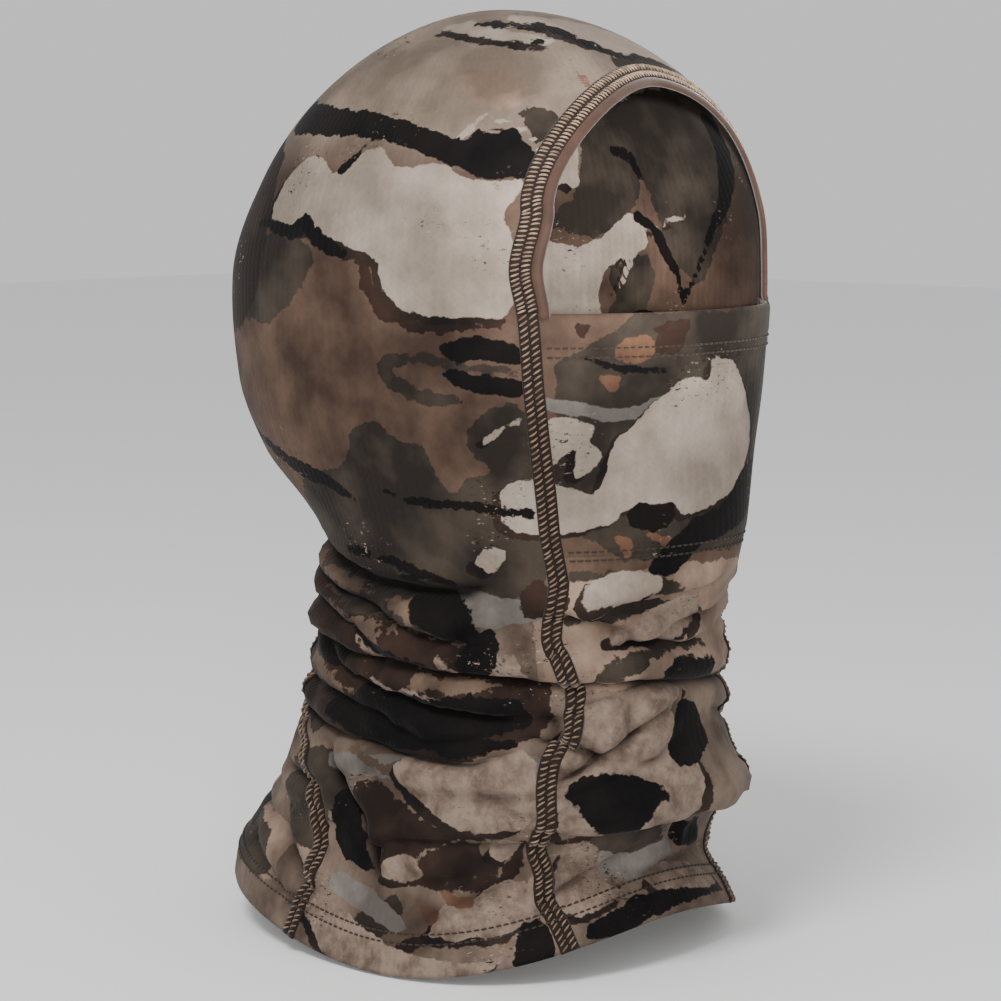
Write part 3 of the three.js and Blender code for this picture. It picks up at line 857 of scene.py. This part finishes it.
def needle_thread():
    shader = Shader("needle_thread", 0.72, 0.1)
    wear = shader.noise(420, 3, 0.6)
    shader.set("Base Color", shader.mix(wear, linear(26, 21, 19), linear(64, 53, 45)))
    shader.bump(shader.noise(2400, 2, 0.5), 0.4, 0.0002)
    return shader.material


def binding_tape():
    """Smooth elastic tape with a fine grain."""
    shader = Shader("binding_tape", 0.55, 0.3)
    wear = shader.noise(160, 3, 0.6)
    shader.set("Base Color", shader.mix(wear, linear(44, 30, 24), linear(72, 52, 42)))
    shader.bump(shader.noise(1400, 2, 0.5), 0.35, 0.0003)
    return shader.material


def label_tape():
    shader = Shader("label_tape", 0.45, 0.2)
    weave = shader.noise(1600, 2, 0.5, (1, 1, 0.2))
    shader.set("Base Color", shader.mix(weave, linear(214, 210, 202), linear(240, 238, 232)))
    shader.bump(weave, 0.3, 0.0002)
    return shader.material


OUTSIDE = camo_knit("camo_knit", 0.0)
INSIDE = camo_knit("camo_knit_inside", 1.0)
SEAM, NEEDLE, TAPE, LABEL = seam_thread(), needle_thread(), binding_tape(), label_tape()


def dress(obj, materials, slot, *nodes, body=HOOD):
    """Gives a piece its materials and body, and hides the solids that it stands for."""
    for material in materials:
        obj.data.materials.append(material)
    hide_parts(*nodes)
    if body:
        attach(obj, body)
    return obj


# ---- camera, light and floor ----------------------------------------------------------------
def stand(name, data, location, drop, turn):
    """Puts up a camera or a lamp that faces drop below the level, turned about the vertical."""
    obj = bpy.data.objects.new(name, data)
    bpy.context.scene.collection.objects.link(obj)
    obj.location = location
    obj.rotation_euler = (math.pi / 2 - drop, 0, turn)
    return obj


def stand_camera():
    azimuth, distance, height, aim = math.radians(-47), 1.0, -0.045, -0.169
    data = bpy.data.cameras.new("camera")
    data.lens, data.sensor_width = 103, 36
    location = (math.sin(azimuth) * distance, -math.cos(azimuth) * distance, height)
    drop = math.atan2(height - aim, distance)
    bpy.context.scene.camera = stand("camera", data, location, drop, azimuth)


def area_light(name, azimuth, elevation, distance, size, power):
    data = bpy.data.lights.new(name, "AREA")
    data.shape, data.size, data.energy = "DISK", size, power
    a, e = math.radians(azimuth), math.radians(elevation)
    middle = (cad_box[0][2] + cad_box[1][2]) / 2
    location = (distance * math.cos(e) * math.sin(a), -distance * math.cos(e) * math.cos(a),
                middle + distance * math.sin(e))
    stand(name, data, location, e, a)


def inside_light():
    """A narrow lamp that shines in through the face opening and no further."""
    start = np.array((-0.87, -0.97, 0.0))
    aim = np.array((0.0, -0.078, -0.060))       # the middle of the face opening
    data = bpy.data.lights.new("inside", "SPOT")
    data.energy = 300
    data.spot_size = math.radians(5.2)
    data.spot_blend = 0.7
    data.shadow_soft_size = 0.05
    reach = aim - start
    drop = math.atan2(-reach[2], math.hypot(reach[0], reach[1]))
    stand("inside", data, start, drop, math.atan2(-reach[0], reach[1]))


def studio():
    area_light("key", azimuth=-70, elevation=52, distance=1.5, size=0.5, power=16)
    area_light("front", azimuth=-44, elevation=5, distance=1.8, size=0.4, power=19)
    inside_light()
    world = bpy.data.worlds.new("studio")
    world.use_nodes = True
    sky = world.node_tree.nodes["Background"].inputs
    sky["Color"].default_value = (1, 1, 1, 1)
    sky["Strength"].default_value = 0.75
    bpy.context.scene.world = world
    bpy.ops.mesh.primitive_plane_add(size=8, location=(0, 0, cad_box[0][2]))
    floor = bpy.context.object
    floor.name = "floor"
    shader = Shader("floor", 0.9)
    shader.surface.inputs["Base Color"].default_value = (0.9, 0.9, 0.9, 1)
    floor.data.materials.append(shader.material)


stand_camera()
studio()


# ---- cloth panels ---------------------------------------------------------------------------
def stops(low, high, pitch):
    """Evenly spaced values from low to high, close to a pitch apart."""
    return np.linspace(low, high, max(2, int(round((high - low) / pitch)) + 1))


def grid(depths, left, right, columns):
    """Rows of phi from left(u) to right(u) at each depth."""
    t = np.linspace(0, 1, columns)
    u = np.repeat(depths[:, None], columns, 1)
    phi = left(depths)[:, None] * (1 - t) + right(depths)[:, None] * t
    return phi, u


HEAD_PITCH, CHEEK_PITCH, NECK_PITCH, MASK_PITCH = 2.8, 2.2, 1.5, 1.3     # between mesh rows, in mm
edge_top = ARCH_TOP + EDGE_INSET * INSET_SHARE
crown_rows = edge_top * np.linspace(0, 1, 15) ** 2
arch_rows = edge_top + (ARCH_FOOT - edge_top) * np.linspace(0, 1, 20)[1:] ** 2
temple_rows = stops(ARCH_FOOT, NOSE_EDGE - 0.6, HEAD_PITCH)[1:]
cheek_rows = stops(NOSE_EDGE, CHIN_SEAM, CHEEK_PITCH)
neck_rows = np.concatenate([stops(CHIN_SEAM, NAPE, NECK_PITCH)[1:], stops(NAPE, U_HEM, NECK_PITCH)[1:]])


def hood_edge(u):
    """The hood's front edge: set back round the face, and against the front seam below."""
    plain = front_seam(u, EDGE_INSET)
    joined = front_seam(u) + degrees_for(SEAM_GAP, front_seam(u), np.maximum(u, 1))
    return np.where(u < NOSE_EDGE, plain, joined)


def hood_back(u):
    """The hood's back edge: the centre back, then a gap short of the gusset seam."""
    edge_line = gusset_seam(u)
    return edge_line - np.where(u > NAPE, degrees_for(SEAM_GAP, edge_line, np.maximum(u, 1)), 0)


def both_sides(phi, u):
    """A patch and its mirror image, which share the centre back."""
    return [(phi, u, False), (np.where(np.isclose(phi, 180), 180, -phi), u, True)]


def curled(depth_from, depth_to, inward):
    """The worn cloth with a folded edge that turns inwards between two depths."""
    def place(phi, u):
        turn = ease(u, depth_from, depth_to)
        return worn(phi, u) - normals_of(base_place, phi, u) * (inward * turn)[..., None]
    return place


def hood_shell():
    rows = np.concatenate([crown_rows, arch_rows, temple_rows, cheek_rows, neck_rows])
    phi, u = grid(rows, hood_edge, hood_back, 112)
    obj = cloth_piece("hood_cloth", both_sides(phi, u), curled(U_HEM - EDGE_ROLL, U_HEM, EDGE_TURN))
    return dress(obj, [OUTSIDE, INSIDE], "camo_knit", "hood_shell")


def beside_seam(gap, sign):
    """The edge of a panel that stops a gap short of the front seam on one side."""
    def line(u):
        seam = front_seam(u)
        return sign * (seam - degrees_for(gap, seam, u))
    return line


def mask_panel():
    rows = stops(NOSE_EDGE, CHIN_SEAM, MASK_PITCH)
    phi, u = grid(rows, beside_seam(SEAM_GAP, -1), beside_seam(SEAM_GAP, 1), 86)
    rolled = curled(NOSE_EDGE + NOSE_ROLL, NOSE_EDGE, EDGE_TURN)
    obj = cloth_piece("mouth_panel_cloth", [(phi, u, False)], rolled)
    return dress(obj, [OUTSIDE, INSIDE], "camo_knit", "mask_panel", body=None)


def neck_front_panel():
    rows = np.concatenate([[CHIN_SEAM], neck_rows])
    phi, u = grid(rows, beside_seam(SEAM_GAP, -1), beside_seam(SEAM_GAP, 1), 76)
    obj = cloth_piece("throat_panel_cloth", [(phi, u, False)], curled(U_HEM - EDGE_ROLL, U_HEM, EDGE_TURN))
    return dress(obj, [OUTSIDE, INSIDE], "camo_knit", "neck_front_panel")


def back_gusset():
    rows = neck_rows[neck_rows > NAPE]

    def start(u):
        seam = gusset_seam(u)
        return seam + degrees_for(SEAM_GAP, seam, u)

    phi, u = grid(rows, start, lambda d: 360 - start(d), 110)
    obj = cloth_piece("back_gusset_cloth", [(phi, u, False)], curled(U_HEM - EDGE_ROLL, U_HEM, EDGE_TURN))
    return dress(obj, [OUTSIDE, INSIDE], "camo_knit", "back_gusset")


def inner_band(name, node, low, high, left, right, columns, closed=False, body=HOOD):
    """A strip of the same jersey turned in behind the panels."""
    depths = stops(low, high, 1.5)
    if closed:
        phi, u = grid(depths, lambda d: 0 * d, lambda d: 0 * d + 180, columns)
        patches = both_sides(phi, u)
    else:
        phi, u = grid(depths, left, right, columns)
        patches = [(phi, u, False)]

    def place(phi, u):
        return worn(phi, u) - normals_of(base_place, phi, u) * (JERSEY + TURN_IN)

    obj = cloth_piece(name, patches, place, 0.7, inner_slot=False)
    return dress(obj, [INSIDE], "camo_facing", node, body=body)


# ---- seams and stitches ---------------------------------------------------------------------
class Line:
    """A line on the worn cloth, walked by its length in millimetres."""

    def __init__(self, phi, u, lift=0.0):
        self.points = worn(phi, u)
        normals = normals_of(worn, phi, u, 0.9)
        steps = np.linalg.norm(np.diff(self.points, axis=0), axis=1)
        self.at = np.concatenate([[0], np.cumsum(steps)])
        self.length = self.at[-1]
        kernel = np.ones(7) / 7
        padded = np.pad(normals, ((3, 3), (0, 0)), "edge")
        self.normals = np.stack([np.convolve(padded[:, k], kernel, "valid") for k in range(3)], -1)
        self.points = self.points + self.normals * lift

    def frames(self, s):
        """Point, forward, side and outward directions at lengths s."""
        def along(values, where):
            return np.stack([np.interp(where, self.at, values[:, k]) for k in range(3)], -1)
        p = along(self.points, s)
        forward = along(self.points, s + 0.8) - along(self.points, s - 0.8)
        forward /= np.linalg.norm(forward, axis=1, keepdims=True)
        out = along(self.normals, s)
        side = np.cross(out, forward)
        side /= np.linalg.norm(side, axis=1, keepdims=True)
        return p, forward, side, np.cross(forward, side)


class Thread:
    """Collects tubes and bands into one mesh, each part marked as loop thread or ground."""

    def __init__(self):
        self.verts, self.faces, self.loop = [], [], []

    def loft(self, rings, loop):
        """Rings of equal count, joined one to the next, with flat ends."""
        start = len(self.verts)
        count = len(rings[0])
        for ring in rings:
            self.verts.extend(ring)
            self.loop.extend([loop] * count)
        for i in range(len(rings) - 1):
            for j in range(count):
                a, b = start + i * count + j, start + i * count + (j + 1) % count
                self.faces.append((a, b, b + count, a + count))
        last = start + (len(rings) - 1) * count
        self.faces.append(tuple(start + k for k in reversed(range(count))))
        self.faces.append(tuple(last + k for k in range(count)))

    def tube(self, path, radius, loop, sides=5, taper=0.55):
        path = np.asarray(path)
        forward = np.gradient(path, axis=0)
        forward /= np.linalg.norm(forward, axis=1, keepdims=True)
        helper = np.array([0.31, 0.22, 0.93])
        one = np.cross(forward, helper)
        one /= np.linalg.norm(one, axis=1, keepdims=True)
        two = np.cross(forward, one)
        turns = np.arange(sides) / sides * 2 * math.pi
        rings = []
        for k, p in enumerate(path):
            r = radius * (taper if k in (0, len(path) - 1) else 1)
            rings.append([p + r * (math.cos(t) * one[k] + math.sin(t) * two[k]) for t in turns])
        self.loft(rings, loop)

    def make(self, name, material, slot, *nodes, body=HOOD):
        obj = new_object(name, self.verts, self.faces, {"loop": self.loop})
        return dress(obj, [material], slot, *nodes, body=body)


def seam_profile(width):
    """Section of a flat seam with its two humps, as (sideways, height) pairs."""
    w = width / 2
    return [(-w, -0.5), (-w, 0.12), (-0.9 * w, 0.48), (-0.5 * w, 0.72), (-0.14 * w, 0.5), (0, 0.28),
            (0.14 * w, 0.5), (0.5 * w, 0.72), (0.9 * w, 0.48), (w, 0.12), (w, -0.5), (0, -0.6)]


def flat_seam(name, line, width, nodes, pitch=RUNG_PITCH, slant=0.42, light=1.0, inside=True):
    """Two columns of light looping thread over a dark ground, along one line."""
    thread = Thread()
    profile = np.array(seam_profile(width))
    p, forward, side, out = line.frames(stops(0, line.length, 1.4))
    rings = [[p[k] + side[k] * s + out[k] * h for s, h in profile] for k in range(len(p))]
    thread.loft([ring[::-1] for ring in rings], 0.0)
    if inside:
        flat = [(-0.42 * width, -JERSEY - 0.1), (0.42 * width, -JERSEY - 0.1),
                (0.3 * width, -JERSEY - 0.55), (-0.3 * width, -JERSEY - 0.55)]
        thread.loft([[p[k] + side[k] * s + out[k] * h for s, h in flat] for k in range(len(p))][::-1], 0.25)
    at = np.arange(0.8, line.length - 0.8, pitch)
    at = at + RNG.normal(0, 0.07, len(at))
    p, forward, side, out = line.frames(at)
    w = width / 2
    for column in (-1, 1):
        across = np.array([0.12, 0.32, 0.60, 0.84]) * w * column
        high = np.array([0.42, 0.86, 0.88, 0.36])
        lean = np.array([1, 0.3, -0.4, -1]) * slant * column
        for k in range(len(at)):
            slip = RNG.normal(0, 0.06)
            path = [p[k] + side[k] * a + out[k] * h + forward[k] * (f + slip)
                    for a, h, f in zip(across, high, lean)]
            thread.tube(path, THREAD_RADIUS, light)
    return thread.make(name, SEAM, "seam_thread", *nodes)


def needle_row(name, line, node, body=HOOD):
    """Separate lockstitches that dip into the cloth at each end."""
    thread = Thread()
    count = int(line.length / STITCH_PITCH)
    pitch = line.length / count
    starts = np.arange(count) * pitch
    offsets = np.array([0.0, 0.28, 0.72, 1.0]) * pitch * 0.84
    heights = (-0.28, 0.26, 0.26, -0.28)
    for s in starts:
        p, _, _, out = line.frames(s + 0.08 * pitch + offsets)
        path = [p[k] + out[k] * heights[k] for k in range(4)]
        thread.tube(path, THREAD_RADIUS, 0.0)
    return thread.make(name, NEEDLE, "needle_thread", node, body=body)


def row_line(depth, margin, lift=0.1):
    """A level line across the front, ending a margin short of both front seams."""
    seam = float(front_seam(depth))
    half = seam - float(degrees_for(margin, seam, depth))
    phi = np.linspace(-half, half, 160)
    return Line(phi, np.full(160, depth), lift)


def ring_line(depth, lift=0.1, count=620):
    """A level line all round the hem, which climbs over each seam that it crosses."""
    phi = np.linspace(-179.9, 180.1, count)
    u = np.full(count, depth)
    bridge = np.zeros(count)
    for seam in (front_seam(depth), gusset_seam(depth)):
        away = np.abs(np.abs((phi + 180) % 360 - 180) - seam)
        bridge = np.maximum(bridge, 1 - ease(away, 2.4, 4.4))
    return Line(phi, u, (lift + 0.75 * bridge)[:, None])


def down_line(angle, low, high, sign=1, count=420):
    """A line that follows a seam down the garment between two depths."""
    u = np.linspace(low, high, count)
    return Line(sign * angle(u), u)


def arch_line(inset, foot):
    """From the right corner of the mask up over the forehead to the left corner."""
    top = ARCH_TOP + inset * INSET_SHARE
    up = np.concatenate([np.linspace(foot, ARCH_FOOT, 40)[:-1],
                         top + (ARCH_FOOT - top) * np.linspace(1, 0, 90) ** 2])
    phi = front_seam(up, inset)
    return Line(np.concatenate([phi, -phi[-2::-1]]), np.concatenate([up, up[-2::-1]]))


def opening_binding():
    """Elastic tape wrapped over the raw edge of the face opening."""
    line = arch_line(EDGE_INSET + 0.5, NOSE_EDGE + 2)
    p, _, side, out = line.frames(stops(0, line.length, 1.2))
    w = BINDING_WIDTH
    section_points = [(0.9, 0.1), (0.1, 0.5), (-0.35 * w, 0.66), (-0.75 * w, 0.4), (-w, -0.35),
                      (-0.85 * w, -1.1), (-0.4 * w, -1.5), (0.9, -1.3)]
    thread = Thread()
    rings = [[p[k] + side[k] * s + out[k] * h for s, h in section_points] for k in range(len(p))]
    thread.loft(rings, 0.0)
    return thread.make("opening_tape", TAPE, "binding_tape", "opening_binding")


def care_label():
    phi, u = grid(stops(268, 292, 1.5), lambda d: 0 * d + 171, lambda d: 0 * d + 189, 22)

    def place(phi, u):
        hang = 1.2 + 2.2 * ease(u, 268, 292)
        return worn(phi, u) - normals_of(base_place, phi, u) * (JERSEY + hang)[..., None]

    obj = cloth_piece("care_label_tape", [(phi, u, False)], place, 0.3, inner_slot=False)
    return dress(obj, [LABEL], "label_tape", "blank_care_label")


# ---- putting the pieces together ------------------------------------------------------------
hood = hood_shell()
mouth = mask_panel()
throat = neck_front_panel()
gusset = back_gusset()

nose_hem = inner_band("nose_hem_turn_in", "nose_hem_facing", NOSE_EDGE + 0.2, NOSE_EDGE + HEM_DEPTH + 1,
                      beside_seam(BAND_GAP, -1), beside_seam(BAND_GAP, 1), 80, body=None)
chin_allowance = inner_band("chin_seam_turn_in", "chin_seam_allowance", CHIN_SEAM - 4, CHIN_SEAM + 4,
                            beside_seam(BAND_GAP, -1), beside_seam(BAND_GAP, 1), 70)
hem_turn_in = inner_band("bottom_hem_turn_in", "bottom_hem_facing", U_HEM - HEM_DEPTH, U_HEM - 0.2,
                         None, None, 220, closed=True)

flat_seam("opening_seam_threads", arch_line(0, NOSE_EDGE), SEAM_WIDTH, ["opening_edge_seam"],
          inside=False)
for side_name, sign in (("right", 1), ("left", -1)):
    flat_seam(f"face_seam_threads_{side_name}", down_line(front_seam, NOSE_EDGE, U_HEM, sign),
              SEAM_WIDTH * 0.94, [f"face_seam_{side_name}"], **LONG_SEAM)
    flat_seam(f"gusset_seam_threads_{side_name}", down_line(gusset_seam, NAPE + 1, U_HEM, sign),
              SEAM_WIDTH * 0.9, [f"gusset_seam_{side_name}"], **LONG_SEAM)
flat_seam("back_seam_threads", down_line(lambda u: 0 * u + 180, 30, NAPE + 2), SEAM_WIDTH * 0.9,
          ["centre_back_seam"], **LONG_SEAM)
opening_binding()

nose_rows = [needle_row(f"nose_row_{name}", row_line(depth, 4.5), f"nose_stitch_{name}", body=None)
             for name, depth in zip(("upper", "lower"), NOSE_ROWS)]
for name, depth in zip(("upper", "lower"), CHIN_ROWS):
    needle_row(f"chin_row_{name}", row_line(depth, 4.2), f"chin_stitch_{name}")
for name, depth in zip(("upper", "lower"), HEM_ROWS):
    needle_row(f"hem_row_{name}", ring_line(depth), f"hem_stitch_{name}")
care_label()

# The mask is pulled down by the middle of its top hem, but nothing here moves it: what follows only bakes
# the transforms of the mask, its nose hem and its nose rows into their meshes.
for piece in (mouth, nose_hem, *nose_rows):
    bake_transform(piece)
